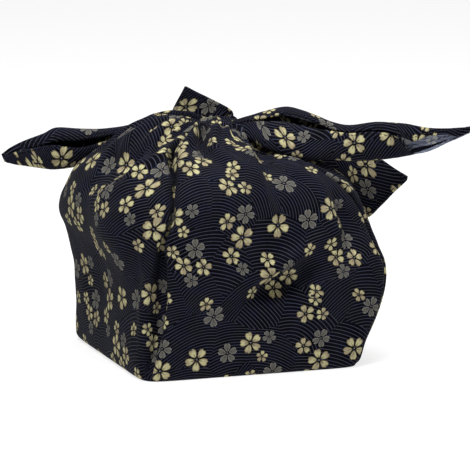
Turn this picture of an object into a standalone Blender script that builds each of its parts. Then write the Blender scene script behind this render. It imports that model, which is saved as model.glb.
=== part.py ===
"""Furoshiki wrap: one square cloth tied over a square box, as a closed sheet 2 mm thick.

The shape is set out in the view frame: X to the right along the spread of the two long
tied ends, Y away, Z up, with the origin at the middle of the flat base. The finished
object is then turned so that the wrapped box's sides lie along the world X and Y axes.
"""

import bpy
import bmesh
import math
from mathutils import Vector

MM = 0.001

# The sheet and the turn of the wrapped box, in millimetres and degrees.
SHEET = 2.0
BOX_TURN = 18.8
CORNERS = 4
VIEW_TILT = 11.5

# Columns on each wall between two pleats, and rings of the base as shares of its rim.
SIDE_COLUMNS = 8
BASE_RINGS = (0.40, 0.90)

# The width across the turned box for each length of its side, the steps that find how far
# a turned section reaches, and the step along a wall that finds its direction.
TURNED_WIDTH = 1.27
REACH_STEPS = 180
DIRECTION_STEP = 0.02

# Sections of the body from the floor up to the neck: how far the cloth reaches on each
# hand, and how square the section is (2 is round).
SECTION_COLUMNS = ("height", "left", "right", "front", "back", "square")
SECTIONS = (
    (1.0, -101.5, 101.5, -103.0, 103.0, 9.0),
    (4.0, -105.5, 105.5, -106.0, 106.0, 9.0),
    (10.0, -107.5, 108.5, -107.0, 107.0, 8.5),
    (20.0, -108.0, 112.5, -107.0, 107.0, 8.0),
    (34.0, -107.5, 118.5, -106.0, 107.0, 7.4),
    (48.0, -107.5, 123.0, -105.5, 107.0, 6.9),
    (62.0, -107.5, 125.5, -105.0, 107.0, 6.4),
    (76.0, -110.0, 125.5, -105.0, 107.0, 6.0),
    (89.0, -114.0, 120.5, -105.0, 107.0, 5.4),
    (101.0, -118.5, 115.0, -105.0, 106.0, 4.9),
    (111.0, -118.0, 111.0, -105.0, 104.0, 4.5),
    (121.0, -114.5, 107.0, -103.5, 100.0, 4.2),
    (130.0, -110.0, 102.0, -101.0, 94.0, 3.9),
    (138.0, -104.5, 95.0, -97.0, 86.0, 3.7),
    (145.5, -96.0, 84.0, -91.0, 76.0, 3.5),
    (153.0, -86.5, 68.0, -83.0, 63.0, 3.3),
    (160.5, -79.0, 46.0, -73.0, 49.0, 3.0),
    (167.5, -71.0, 29.0, -61.0, 36.0, 2.8),
    (173.5, -61.0, 23.0, -49.0, 28.0, 2.6),
    (178.0, -48.0, 20.0, -37.0, 23.5, 2.4),
    (179.7, -33.0, 16.0, -26.0, 18.0, 2.2),
    (177.5, -20.0, 11.5, -17.0, 12.5, 2.0),
    (171.0, -9.0, 9.0, -9.5, 9.0, 2.0),
)

# The pleat at each upright edge of the box, row by row of the sections. Along the wall,
# from the corner: where one flap's lip ends, where the next flap's folded edge lies over
# it, and how far the cloth is tucked back under that edge. Inwards: how deep the floor of
# the pleat and its middle layer lie.
PLEAT_COLUMNS = ("section", "lip", "edge", "tuck", "floor", "middle")
PLEAT = (
    (0.0, -2.0, 8.0, -2.4, 0.0, 0.0),
    (1.0, -2.0, 8.0, -2.4, 1.5, 0.8),
    (2.0, 0.0, 9.0, -2.2, 5.0, 2.5),
    (3.0, 2.0, 11.0, -2.0, 7.4, 3.7),
    (4.0, 3.0, 13.0, 9.0, 7.6, 3.8),
    (6.0, 4.0, 17.0, 32.0, 7.8, 3.9),
    (8.0, 6.0, 19.0, 38.0, 7.8, 3.9),
    (10.0, 9.0, 20.0, 38.0, 7.8, 3.9),
    (12.0, 6.0, 16.0, 30.0, 8.0, 4.0),
    (14.0, 0.0, 9.0, 20.0, 8.6, 4.3),
    (15.0, -2.5, 7.0, 17.0, 8.6, 4.3),
    (16.0, -4.0, 5.5, 9.0, 8.4, 4.2),
    (17.0, -3.8, 5.0, -2.0, 7.0, 3.5),
    (18.0, -3.5, 4.5, -2.6, 3.2, 1.6),
    (19.0, -3.5, 3.5, -2.4, 0.8, 0.4),
    (20.0, -3.0, 3.0, -2.0, 0.0, 0.0),
    (22.0, -2.0, 2.0, -1.6, 0.0, 0.0),
)

# The round of a pleat's turned edges, how far its lip sinks, how far its turns reach, the
# tuck from which its layers lie folded, and how its front edge moves as they fold.
PLEAT_ROLL = 2.0
LIP_SINK = 0.35
TURN_REACH = 0.3
FULL_TUCK = 9.0
FOLDED_EDGE = 0.8
OPEN_EDGE = 0.2
RISER_EDGE = 0.1

# Where the hems part above each pleat, from the near edge round to the right, back and
# left: the section at which the gap starts and how much wider it stands. The gap widens
# from a few sections before that one and closes towards the neck.
GAP_RISE_BEFORE = 2.0
GAP_RISE = 3.0
GAP_CLOSED = 19.0
GAP_COLUMNS = ("start", "spread")
GAPS = (
    (14, 0.0),
    (15, 1.0),
    (13, 6.5),
    (15, 1.0),
)

# Ridges (+) and troughs (-) of the sides towards the viewer. The path is given on the
# plane of the photographed view (across, up) by its start, middle and end. They fade
# towards the floor, towards their ends and where the side turns away.
FOLD_FOOT = 4.0
FOLD_FOOT_RISE = 12.0
FOLD_END = 0.08
FOLD_FACING = 2.0
FOLD_COLUMNS = ("x0", "u0", "x1", "u1", "x2", "u2", "width", "rise")
FOLDS = (
    (-104.0, 135.0, -76.0, 153.0, -34.0, 177.0, 7.0, 4.0),
    (-88.0, 128.0, -55.0, 153.0, -26.0, 171.0, 8.0, -4.0),
    (-48.0, 160.0, -34.0, 169.0, -12.0, 178.0, 5.0, 3.5),
    (16.0, 167.0, 26.0, 144.0, 40.0, 105.0, 10.0, 4.0),
    (30.0, 160.0, 44.0, 136.0, 60.0, 100.0, 14.0, -4.0),
    (42.0, 63.0, 60.0, 82.0, 76.0, 95.0, 12.0, 4.0),
    (46.0, 44.0, 62.0, 58.0, 86.0, 70.0, 15.0, -6.0),
    (91.0, 114.0, 99.0, 96.0, 99.0, 80.0, 13.0, -5.0),
    (-24.0, 110.0, -22.0, 60.0, -36.0, 10.0, 12.0, 2.5),
    (-60.0, 120.0, -56.0, 70.0, -54.0, 20.0, 9.0, 2.0),
    (-92.0, 120.0, -80.0, 80.0, -84.0, 20.0, 14.0, -2.5),
)

# The tied ends. Each row is one section of the rolled end: the two points between which
# it stands in the view plane, its distance, its thickness, how far its top leans away,
# and the part of its front, from -1 at the low point to 1 at the top, that stays open.
TAIL_COLUMNS = (
    "top_x", "top_z", "low_x", "low_z", "y", "depth", "lean", "open_low", "open_high",
)
LEFT_TAIL = (
    (-5.0, 174.5, -5.0, 165.0, 1.0, 9.0, 0.0, -0.10, 0.40),
    (-28.0, 180.0, -28.0, 172.0, 27.0, 8.0, 0.0, -0.10, 0.40),
    (-50.0, 173.0, -50.0, 164.0, 45.0, 9.0, 0.0, -0.10, 0.40),
    (-70.0, 168.5, -70.0, 155.0, 50.0, 12.0, 0.0, -0.10, 0.45),
    (-88.0, 165.5, -88.0, 146.0, 45.0, 16.0, 0.0, -0.10, 0.45),
    (-104.0, 163.5, -104.0, 136.5, 38.0, 19.0, 0.0, -0.10, 0.45),
    (-121.0, 165.0, -121.0, 134.0, 34.0, 20.0, 0.0, -0.15, 0.48),
    (-131.0, 160.5, -131.0, 135.0, 32.0, 18.0, 0.0, -0.20, 0.50),
    (-146.0, 155.0, -144.0, 137.0, 31.0, 13.0, 0.0, -0.50, 0.60),
    (-155.5, 150.0, -153.0, 138.0, 30.0, 3.0, 0.0, -1.00, 1.00),
    (-162.0, 145.5, -159.5, 139.5, 30.0, 0.0, 0.0, -1.00, 1.00),
)
RIGHT_TAIL = (
    (5.0, 174.5, 5.0, 165.0, -3.0, 9.0, 0.0, 0.40, 0.80),
    (22.0, 182.0, 22.0, 173.5, -16.0, 13.0, 14.0, 0.40, 0.80),
    (36.0, 186.0, 36.0, 167.0, -23.0, 18.0, 22.0, 0.40, 0.80),
    (51.0, 189.5, 51.0, 161.5, -25.0, 20.0, 24.0, 0.40, 0.80),
    (63.0, 187.0, 63.0, 158.5, -25.0, 20.0, 24.0, 0.42, 0.78),
    (75.0, 182.5, 75.0, 155.5, -23.0, 19.0, 20.0, 0.42, 0.78),
    (86.0, 178.0, 86.0, 153.5, -20.0, 17.0, 13.0, 0.42, 0.78),
    (99.0, 175.5, 99.0, 150.0, -16.0, 15.0, 6.0, 0.42, 0.78),
    (118.0, 177.5, 118.0, 149.5, -12.0, 14.0, 2.0, 0.40, 0.76),
    (134.0, 176.5, 134.0, 150.5, -9.0, 13.0, 0.0, 0.35, 0.72),
    (147.0, 175.0, 147.0, 152.5, -7.0, 12.0, 0.0, -0.30, 0.60),
    (159.0, 173.0, 159.0, 155.0, -6.0, 10.0, 0.0, -1.00, 0.40),
    (173.0, 172.0, 173.0, 161.5, -5.0, 7.0, 0.0, -1.00, 0.60),
    (182.0, 172.0, 181.0, 165.0, -4.0, 2.5, 0.0, -1.00, 1.00),
    (190.0, 173.0, 188.5, 168.0, -4.0, 0.0, 0.0, -1.00, 1.00),
)
CORNER_TAIL = (
    (5.0, 173.0, 5.0, 164.0, 2.0, 8.0, 0.0, -0.20, 0.40),
    (26.0, 174.0, 26.0, 165.5, 24.0, 8.0, 0.0, -0.20, 0.40),
    (48.0, 170.0, 48.0, 158.0, 34.0, 8.0, 0.0, -0.30, 0.50),
    (72.0, 165.0, 72.0, 146.0, 38.0, 8.0, 0.0, -0.60, 0.70),
    (92.0, 158.0, 92.0, 126.0, 36.0, 7.0, 0.0, -1.00, 1.00),
    (104.0, 152.0, 104.0, 104.0, 32.0, 7.0, 0.0, -1.00, 1.00),
    (113.0, 147.5, 113.0, 97.0, 30.0, 7.0, 0.0, -1.00, 1.00),
    (123.0, 142.5, 123.0, 106.0, 28.0, 6.0, 0.0, -1.00, 1.00),
    (133.0, 135.5, 133.0, 117.0, 26.0, 5.0, 0.0, -1.00, 1.00),
    (138.5, 132.0, 137.5, 122.5, 25.0, 2.5, 0.0, -1.00, 1.00),
    (142.5, 130.0, 141.0, 125.0, 25.0, 0.0, 0.0, -1.00, 1.00),
)
PEAK_TAIL = (
    (-8.0, 165.0, 7.0, 165.0, 3.0, 5.0, 0.0, -1.00, 1.00),
    (-22.0, 174.0, 12.0, 173.5, 10.0, 9.0, 0.0, -1.00, 1.00),
    (-33.5, 179.5, 12.0, 180.0, 13.0, 10.0, 0.0, -1.00, 1.00),
    (-31.0, 186.0, 2.5, 185.0, 13.5, 9.0, 0.0, -1.00, 1.00),
    (-28.0, 192.0, -10.0, 191.5, 13.5, 5.0, 0.0, -1.00, 1.00),
    (-26.0, 196.0, -18.5, 196.0, 13.0, 1.5, 0.0, -1.00, 1.00),
    (-25.5, 200.0, -21.5, 200.0, 13.0, 0.0, 0.0, -1.00, 1.00),
)
TAIL_ACROSS = 8
ROLL_POWER = 0.85
UNROLL_POWER = 3

# The knot: the gathered lump of cloth that fills the neck.
KNOT_CENTRE = (0.0, -1.0, 169.5)
KNOT_SIZE = (20.5, 17.5, 9.5)
KNOT_RIDGES = 7
KNOT_RIDGE_RISE = 0.06
KNOT_TWIST = 2.0
KNOT_SEGMENTS = 26
KNOT_RINGS = 11

CLOTH_COLOUR = (0.012, 0.014, 0.030, 1.0)
CLOTH_ROUGHNESS = 0.85


def clear_scene():
    """Start from a scene with nothing in it."""
    for item in list(bpy.data.objects):
        bpy.data.objects.remove(item)


def named_rows(columns, rows):
    """Rows as dictionaries, so that each number is read by its name."""
    return [dict(zip(columns, row)) for row in rows]


def spline(values, position):
    """Smooth curve through evenly numbered values."""
    last = len(values) - 1
    start = min(int(position), last - 1)
    t = position - start
    before = values[max(start - 1, 0)]
    here = values[start]
    there = values[start + 1]
    after = values[min(start + 2, last)]
    return (
        here
        + 0.5 * t * (there - before)
        + t * t * (before - 2.5 * here + 2.0 * there - 0.5 * after)
        + t * t * t * (1.5 * (here - there) + 0.5 * (after - before))
    )


def spline_row(rows, position):
    """All columns of a table at a position between its rows."""
    return {name: spline([row[name] for row in rows], position) for name in rows[0]}


def pleat_at(section):
    """The pleat's measures at a section, from straight runs between its rows."""
    rows = named_rows(PLEAT_COLUMNS, PLEAT)
    for low, high in zip(rows, rows[1:]):
        if section <= high["section"]:
            share = (section - low["section"]) / (high["section"] - low["section"])
            return {name: low[name] + share * (high[name] - low[name]) for name in low}
    return rows[-1]


def squared(angle, power):
    """Distance to a rounded square of half width 1, in a direction."""
    return (abs(math.cos(angle)) ** power + abs(math.sin(angle)) ** power) ** (-1.0 / power)


def turned_square(angle, power):
    """A point of the rounded square, turned as the wrapped box is."""
    radius = squared(angle, power)
    turn = angle + math.radians(BOX_TURN)
    return radius * math.cos(turn), radius * math.sin(turn)


def square_reach(power):
    """How far the turned square reaches across and away."""
    turns = [math.tau * step / REACH_STEPS for step in range(REACH_STEPS)]
    points = [turned_square(turn, power) for turn in turns]
    return max(x for x, _ in points), max(y for _, y in points)


def wall_point(section, station):
    """A point of a section. Whole stations are the box's corners, the near one first."""
    side = math.floor(station)
    along = 2.0 * (station - side) - 1.0
    angle = math.radians(90.0 * side - 90.0) + math.atan(along)
    x, y = turned_square(angle, section["square"])
    reach_x, reach_y = square_reach(section["square"])
    half_x = (section["right"] - section["left"]) / 2.0
    half_y = (section["back"] - section["front"]) / 2.0
    middle_x = (section["right"] + section["left"]) / 2.0
    middle_y = (section["back"] + section["front"]) / 2.0
    return Vector((
        middle_x + x / reach_x * half_x,
        middle_y + y / reach_y * half_y,
        section["height"],
    ))


def body_stations(section, number):
    """Stations and depths of a section's columns, once round the body."""
    side_length = (section["right"] - section["left"]) / TURNED_WIDTH
    pleat = pleat_at(number)
    columns = []
    for corner, gap in enumerate(named_rows(GAP_COLUMNS, GAPS)):
        opened = min(max((number - gap["start"] + GAP_RISE_BEFORE) / GAP_RISE, 0.0), 1.0)
        closing = min(max((GAP_CLOSED - number) / GAP_RISE, 0.0), 1.0)
        spread = gap["spread"] * opened * closing
        lip = pleat["lip"] - spread
        edge = pleat["edge"] + spread
        far = edge + pleat["tuck"]
        folded = min(max(pleat["tuck"] / FULL_TUCK, 0.0), 1.0)
        parting = (1.0 - folded) * pleat["middle"] / 2.0
        turn = TURN_REACH * PLEAT_ROLL
        under_edge = edge + (FOLDED_EDGE * folded - OPEN_EDGE) * PLEAT_ROLL
        offsets = (
            (lip - PLEAT_ROLL, 0.0),
            (lip, LIP_SINK * pleat["floor"]),
            (lip + turn, pleat["floor"]),
            (far, pleat["floor"]),
            (far + turn, pleat["middle"] + parting),
            (under_edge, pleat["middle"] - parting),
            (edge + RISER_EDGE * (1.0 - folded) * PLEAT_ROLL, (pleat["middle"] - parting) / 2.0),
            (edge + PLEAT_ROLL, 0.0),
        )
        columns += [(corner + along / side_length, depth) for along, depth in offsets]
        start = corner + (edge + PLEAT_ROLL) / side_length
        next_gap = GAPS[(corner + 1) % CORNERS][GAP_COLUMNS.index("spread")]
        lip_there = pleat["lip"] - next_gap * opened * closing
        end = corner + 1.0 + (lip_there - PLEAT_ROLL) / side_length
        for column in range(1, SIDE_COLUMNS + 1):
            columns.append((start + (end - start) * column / (SIDE_COLUMNS + 1), 0.0))
    return columns


def wall_normal(sections, number, station):
    """The outward direction of the plain body at a station of a section."""
    below = sections[max(number - 1, 0)]
    above = sections[min(number + 1, len(sections) - 1)]
    here = sections[number]
    ahead = wall_point(here, station + DIRECTION_STEP)
    along = ahead - wall_point(here, station - DIRECTION_STEP)
    up = wall_point(above, station) - wall_point(below, station)
    return along.cross(up).normalized()


def body_surface():
    """The body's middle surface: points ring by ring, and the faces that stay."""
    sections = named_rows(SECTION_COLUMNS, SECTIONS)
    rings = []
    for number, section in enumerate(sections):
        ring = []
        for station, depth in body_stations(section, number):
            point = wall_point(section, station)
            normal = wall_normal(sections, number, station)
            ring.append(point + normal * (fold_rise(point, normal) - depth))
        rings.append(ring)
    around = len(rings[0])
    centre = sum(rings[0], Vector()) / around
    base = [[centre + (point - centre) * share for point in rings[0]] for share in BASE_RINGS]
    rings = base + rings
    points = [centre] + [point for ring in rings for point in ring]
    faces = []
    per_corner = around // CORNERS
    for column in range(around):
        faces.append((0, 1 + (column + 1) % around, 1 + column))
    for ring in range(len(rings) - 1):
        for column in range(around):
            corner = column // per_corner
            in_floor = column % per_corner == 2
            number = ring - len(base)
            if in_floor and number >= GAPS[corner][0]:
                continue
            following = (column + 1) % around
            faces.append((
                1 + ring * around + column,
                1 + ring * around + following,
                1 + (ring + 1) * around + following,
                1 + (ring + 1) * around + column,
            ))
    return points, faces


def tail_surface(rows, spans):
    """A rolled end's middle surface, from its table of sections."""
    table = named_rows(TAIL_COLUMNS, rows)
    count = (len(table) - 1) * spans
    points = []
    for number in range(count + 1):
        row = spline_row(table, number / spans)
        top = Vector((row["top_x"], row["y"] + row["lean"] / 2.0, row["top_z"]))
        low = Vector((row["low_x"], row["y"] - row["lean"] / 2.0, row["low_z"]))
        middle = (top + low) / 2.0
        half = (top - low) / 2.0
        start = math.pi - math.asin(min(max(row["open_high"], -1.0), 1.0))
        end = -math.pi - math.asin(min(max(row["open_low"], -1.0), 1.0))
        gap = (row["open_high"] - row["open_low"]) / 2.0
        opened = min(max(gap, 0.0), 1.0) ** UNROLL_POWER
        for step in range(TAIL_ACROSS + 1):
            share = step / TAIL_ACROSS
            angle = start + (end - start) * share
            rolled_away = math.copysign(abs(math.cos(angle)) ** ROLL_POWER, math.cos(angle))
            rolled_up = math.copysign(abs(math.sin(angle)) ** ROLL_POWER, math.sin(angle))
            flat_up = 1.0 - 2.0 * share
            flat_away = 1.0 - flat_up * flat_up
            away = rolled_away + opened * (flat_away - rolled_away)
            up = rolled_up + opened * (flat_up - rolled_up)
            depth = Vector((0.0, row["depth"] / 2.0 * away, 0.0))
            points.append(middle + half * up + depth)
    wide = TAIL_ACROSS + 1
    faces = []
    for ring in range(count):
        for step in range(TAIL_ACROSS):
            faces.append((
                ring * wide + step,
                ring * wide + step + 1,
                (ring + 1) * wide + step + 1,
                (ring + 1) * wide + step,
            ))
    return points, faces


def point_normals(points, faces):
    """Directions square to the surface at its points."""
    normals = [Vector() for _ in points]
    for face in faces:
        corners = [points[index] for index in face]
        square = (corners[2] - corners[0]).cross(corners[-1] - corners[1]).normalized()
        for index in face:
            normals[index] += square
    return [normal.normalized() for normal in normals]


def near_path(x, up, fold):
    """Distance in the view plane to a fold's path, and how far along it lies."""
    path = [(fold["x0"], fold["u0"]), (fold["x1"], fold["u1"]), (fold["x2"], fold["u2"])]
    best = (1.0e9, 0.0)
    for part, (start, end) in enumerate(zip(path, path[1:])):
        run_x = end[0] - start[0]
        run_u = end[1] - start[1]
        share = ((x - start[0]) * run_x + (up - start[1]) * run_u) / (run_x ** 2 + run_u ** 2)
        share = min(max(share, 0.0), 1.0)
        gap = math.hypot(x - start[0] - share * run_x, up - start[1] - share * run_u)
        best = min(best, (gap, (part + share) / 2.0))
    return best


def fold_rise(point, normal):
    """How far the ridges and troughs move a point of the sides towards the viewer."""
    tilt = math.radians(VIEW_TILT)
    facing = max(0.0, normal.z * math.sin(tilt) - normal.y * math.cos(tilt))
    up = point.z * math.cos(tilt) + point.y * math.sin(tilt)
    above_floor = min(max((point.z - FOLD_FOOT) / FOLD_FOOT_RISE, 0.0), 1.0)
    rise = 0.0
    for fold in named_rows(FOLD_COLUMNS, FOLDS):
        gap, along = near_path(point.x, up, fold)
        ends = math.sqrt(math.sin(math.pi * min(max(along, FOLD_END), 1.0 - FOLD_END)))
        rise += fold["rise"] * ends * math.exp(-((gap / fold["width"]) ** 2))
    return rise * min(1.0, FOLD_FACING * facing) * above_floor


def split(points, faces):
    """Triangles of the faces, each four-sided one split along its shorter diagonal."""
    triangles = []
    for face in faces:
        if len(face) == 3:
            triangles.append(face)
            continue
        a, b, c, d = face
        if (points[a] - points[c]).length < (points[b] - points[d]).length:
            triangles += [(a, b, c), (a, c, d)]
        else:
            triangles += [(a, b, d), (b, c, d)]
    return triangles


def sheet_mesh(name, points, faces):
    """A closed sheet about a middle surface, with its rim closed along every hem."""
    normals = point_normals(points, faces)
    half = SHEET / 2.0
    mesh = bmesh.new()
    outer = [mesh.verts.new((point + normal * half) * MM) for point, normal in zip(points, normals)]
    inner = [mesh.verts.new((point - normal * half) * MM) for point, normal in zip(points, normals)]
    edges = set()
    for face in split(points, faces):
        mesh.faces.new([outer[index] for index in face])
        mesh.faces.new([inner[index] for index in reversed(face)])
        edges.update(zip(face, face[1:] + face[:1]))
    for start, end in sorted(edges):
        if (end, start) not in edges:
            mesh.faces.new((outer[end], outer[start], inner[start], inner[end]))
    loose = [vertex for vertex in mesh.verts if not vertex.link_faces]
    bmesh.ops.delete(mesh, geom=loose, context="VERTS")
    return finished(name, mesh)


def finished(name, mesh):
    """Link a bmesh to the scene as a smooth object whose faces point out."""
    bmesh.ops.recalc_face_normals(mesh, faces=mesh.faces)
    data = bpy.data.meshes.new(name)
    mesh.to_mesh(data)
    mesh.free()
    data.shade_smooth()
    item = bpy.data.objects.new(name, data)
    bpy.context.collection.objects.link(item)
    return item


def knot_lump():
    """The gathered cloth of the knot, ridged round its middle."""
    mesh = bmesh.new()
    bmesh.ops.create_uvsphere(
        mesh, u_segments=KNOT_SEGMENTS, v_segments=KNOT_RINGS, radius=1.0
    )
    for vertex in mesh.verts:
        around = math.atan2(vertex.co.y, vertex.co.x)
        wave = math.cos(KNOT_RIDGES * around + KNOT_TWIST * vertex.co.z)
        ridge = 1.0 + KNOT_RIDGE_RISE * wave
        place = Vector(a * b * ridge for a, b in zip(vertex.co, KNOT_SIZE))
        vertex.co = (place + Vector(KNOT_CENTRE)) * MM
    return finished("knot_lump", mesh)


def cloth_material():
    """Dark navy woven cloth."""
    material = bpy.data.materials.new("navy_cloth")
    material.use_nodes = True
    shader = material.node_tree.nodes["Principled BSDF"]
    shader.inputs["Base Color"].default_value = CLOTH_COLOUR
    shader.inputs["Roughness"].default_value = CLOTH_ROUGHNESS
    shader.inputs["Metallic"].default_value = 0.0
    return material


def joined(item, others):
    """Union the other pieces of the same cloth into one solid."""
    group = bpy.data.collections.new("ends_and_knot")
    bpy.context.scene.collection.children.link(group)
    for other in others:
        bpy.context.collection.objects.unlink(other)
        group.objects.link(other)
        other.hide_render = True
        other.display_type = "WIRE"
    union = item.modifiers.new("ends_and_knot", "BOOLEAN")
    union.operation = "UNION"
    union.solver = "EXACT"
    union.operand_type = "COLLECTION"
    union.collection = group


def build():
    clear_scene()
    points, faces = body_surface()
    cloth = sheet_mesh("cloth", points, faces)
    others = [knot_lump()]
    tails = (
        ("left_tail", LEFT_TAIL, 2),
        ("right_tail", RIGHT_TAIL, 2),
        ("corner_tail", CORNER_TAIL, 1),
        ("peak_tail", PEAK_TAIL, 1),
    )
    for name, rows, spans in tails:
        others.append(sheet_mesh(name, *tail_surface(rows, spans)))
    joined(cloth, others)
    cloth.data.materials.append(cloth_material())
    turn = bpy.data.objects.new("box_turn", None)
    bpy.context.collection.objects.link(turn)
    turn.rotation_euler.z = -math.radians(BOX_TURN)
    for item in [cloth] + others:
        item.parent = turn


build()
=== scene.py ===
import math

import bpy
import numpy as np
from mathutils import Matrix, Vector, kdtree, noise


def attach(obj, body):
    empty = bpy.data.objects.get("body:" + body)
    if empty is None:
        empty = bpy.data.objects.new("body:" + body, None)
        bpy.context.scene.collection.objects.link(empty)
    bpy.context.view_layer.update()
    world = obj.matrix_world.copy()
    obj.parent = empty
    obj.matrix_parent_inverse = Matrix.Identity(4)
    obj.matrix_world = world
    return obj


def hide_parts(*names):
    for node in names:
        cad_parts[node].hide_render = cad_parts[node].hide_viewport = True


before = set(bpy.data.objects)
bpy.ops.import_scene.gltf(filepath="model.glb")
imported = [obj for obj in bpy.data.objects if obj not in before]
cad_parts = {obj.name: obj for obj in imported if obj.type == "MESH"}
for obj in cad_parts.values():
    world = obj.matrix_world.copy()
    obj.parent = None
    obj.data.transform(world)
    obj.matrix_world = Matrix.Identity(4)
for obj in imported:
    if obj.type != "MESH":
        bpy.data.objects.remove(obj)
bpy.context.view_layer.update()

# The looks of the furoshiki wrap: one square printed cloth tied over a square box.
# All shapes are set out in millimetres in the view frame: X across the picture, Y away,
# Z up, the origin at the middle of the flat base. The finished cloth is turned so that
# the wrapped box's sides lie along the world X and Y axes.
MM = 0.001

# The turn of the wrapped box and the tilt of the view, in degrees, and how many corners
# the box has.
BOX_TURN = 18.8
VIEW_TILT = 11.5
CORNERS = 4

# The real cloth: half its thickness, in the open and where it is turned over at the hem,
# how wide the hem and the step beside it are, and the distance that stands for no hem.
HALF_CLOTH = 0.3
HALF_HEM = 0.6
HEM_WIDTH = 3.6
HEM_STEP = 0.8
NO_HEM = 1000.0

# The turned box's width for each length of its side, the steps that find how far a turned
# section reaches, and the steps along a wall and up it that find its direction.
TURNED_WIDTH = 1.27
REACH_STEPS = 180
DIRECTION_STEP = 0.02
SLOPE_STEP = 0.6

# Sections of the body from the floor up to the neck: how far the cloth reaches on each
# hand, and how square the section is (2 is round).
SECTION_COLUMNS = ("height", "left", "right", "front", "back", "square")
SECTIONS = (
    (0.6, -103, 103, -104, 104, 13),
    (4, -106.5, 106.5, -106.5, 106.5, 13),
    (10, -107.5, 109, -107, 107, 12),
    (20, -108, 112.5, -107, 107, 10.5),
    (34, -107.5, 118.5, -106, 107, 9),
    (48, -107.5, 123, -105.5, 107, 7.8),
    (62, -107.5, 125.5, -105, 107, 6.8),
    (76, -110, 125.5, -105, 107, 6),
    (89, -114, 120.5, -105, 107, 5.4),
    (101, -118.5, 115, -105, 106, 4.9),
    (111, -118, 111, -105, 104, 4.5),
    (121, -114.5, 107, -103.5, 100, 4.2),
    (130, -110, 102, -101, 94, 3.9),
    (138, -104.5, 95, -97, 86, 3.7),
    (145.5, -96, 84, -91, 76, 3.5),
    (153, -86.5, 68, -83, 63, 3.3),
    (160.5, -79, 46, -73, 49, 3),
    (167.5, -71, 29, -61, 36, 2.8),
    (173.5, -61, 23, -49, 28, 2.6),
    (178, -48, 20, -37, 23.5, 2.4),
    (179.7, -33, 16, -26, 18, 2.2),
    (177.5, -20, 11.5, -17, 12.5, 2),
    (171, -9, 9, -9.5, 9, 2),
)
ROWS_PER_SECTION = 4

# The pleat at each upright edge of the box, by section. Along the wall, from the corner:
# where one flap's lip ends, where the next flap's folded edge lies over it, and how far
# the cloth is tucked back under it. Inwards: how deep its floor and its middle layer lie.
PLEAT_COLUMNS = ("section", "lip", "edge", "tuck", "floor", "middle")
PLEAT = (
    (0, -2, 8, -2.4, 0, 0),
    (1, -2, 8, -2.4, 1.5, 0.8),
    (2, 0, 9, 2, 5, 2.5),
    (3, 2, 11, 20, 7.4, 3.7),
    (4, 3, 13, 45, 7.6, 3.8),
    (6, 4, 17, 80, 7.8, 3.9),
    (8, 6, 19, 105, 7.8, 3.9),
    (10, 9, 20, 125, 7.8, 3.9),
    (12, 6, 16, 118, 8, 4),
    (14, 0, 9, 90, 8.6, 4.3),
    (15, -2.5, 7, 62, 8.6, 4.3),
    (16, -4, 5.5, 32, 8.4, 4.2),
    (17, -3.8, 5, -2, 7, 3.5),
    (18, -3.5, 4.5, -2.6, 3.2, 1.6),
    (19, -3.5, 3.5, -2.4, 0.8, 0.4),
    (20, -3, 3, -2, 0, 0),
    (22, -2, 2, -1.6, 0, 0),
)

# How much further along the wall the near edge's pleat lies, and how much deeper.
NEAR_PLEAT_COLUMNS = ("section", "lip", "edge", "floor")
NEAR_PLEAT = (
    (0, 0, 0, 0),
    (2, -3, -1, 1.5),
    (4, -8, -1, 7),
    (6.5, -11, -3, 8),
    (8, 5, 2, 5),
    (9.5, 15.5, 7, 2),
    (11, 20.5, 13, 1),
    (13, 20.5, 14, 2),
    (14, 20, 14, 4),
    (15, 19, 13, 6),
    (16.5, 15.5, 11, 7),
    (18, 16.5, 13, 7),
    (19, 14, 11, 5.5),
    (20.5, 6, 5, 2),
    (22, 0, 0, 0),
)

# A pleat's round edges, how far its lip sinks and its turns reach, the tuck from which its
# layers lie folded, and how its front edge moves as they fold.
PLEAT_ROLL = 2.0
LIP_SINK = 0.35
TURN_REACH = 0.3
FULL_TUCK = 9.0
FOLDED_EDGE = 0.8
OPEN_EDGE = 0.2
RISER_EDGE = 0.1

# The neck is lower to the right: the sections between which the fall sets in, how far
# across it starts, and how steep it is.
NECK_FALL_FROM = 16.0
NECK_FALL_FULL = 19.0
NECK_FALL_LEFT = -15.0
NECK_FALL = 0.2

# Steps of the dense mesh along each stretch of a pleat and along the wall after it, and
# which stretch is the pleat's floor, one of the long ones.
PLEAT_STEPS = (2, 3, 12, 3, 12, 3, 2)
WALL_STEPS = 54
FLOOR_STRETCH = 2
LONG_STRETCH = PLEAT_STEPS[FLOOR_STRETCH]
ROUNDING_PASSES = 2

# The rings of the base inside its rim, as shares of the rim.
BASE_RINGS = (0.86, 0.7, 0.5, 0.3, 0.1, 0.004)

# Where the hems part above each pleat, from the near edge round to the right, back and
# left: the section at which the gap starts and how much wider it stands. The gap widens
# from a few sections before that one and closes towards the neck.
GAP_RISE_BEFORE = 2.0
GAP_RISE = 3.0
GAP_CLOSED = 19.0
GAP_COLUMNS = ("start", "spread")
GAPS = (
    (21, 0),
    (15, 1),
    (13, 6.5),
    (15, 1),
)

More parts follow.
